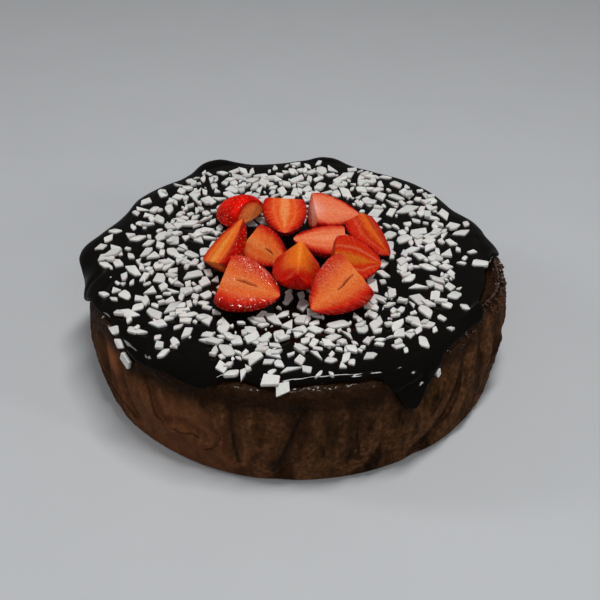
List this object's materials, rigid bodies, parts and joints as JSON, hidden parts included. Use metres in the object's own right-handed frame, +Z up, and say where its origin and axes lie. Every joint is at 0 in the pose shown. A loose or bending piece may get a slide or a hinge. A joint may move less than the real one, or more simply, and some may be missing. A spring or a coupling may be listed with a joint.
{
  "type": "chocolate layer cake",
  "caption": "Whole round chocolate cake with dark poured glaze, flat white chips and a heap of cut strawberries, for a table or counter.",
  "frame": {"origin": "middle of the cake's footprint, on the surface it stands on", "axes": "+Z up, -Y towards the side that the picture shows in front, +X to the right of it"},
  "size_m": [0.253, 0.2494, 0.0955],
  "materials": {
    "sponge": "moist, wrinkled",
    "glaze": "wet gloss",
    "strawberry": "moist gloss"
  },
  "bodies": {
    "root": {"cake": "sponge", "glaze": "glaze", "strawberry_front_left": "strawberry", "strawberry_front_right": "strawberry", "strawberry_centre": "strawberry", "strawberry_right": "strawberry", "strawberry_left": "strawberry", "strawberry_far_left": "strawberry", "strawberry_back_left": "strawberry", "strawberry_back": "strawberry", "strawberry_back_right": "strawberry", "strawberry_far_right": "strawberry", "strawberry_middle": "strawberry"}
  },
  "joints": []
}
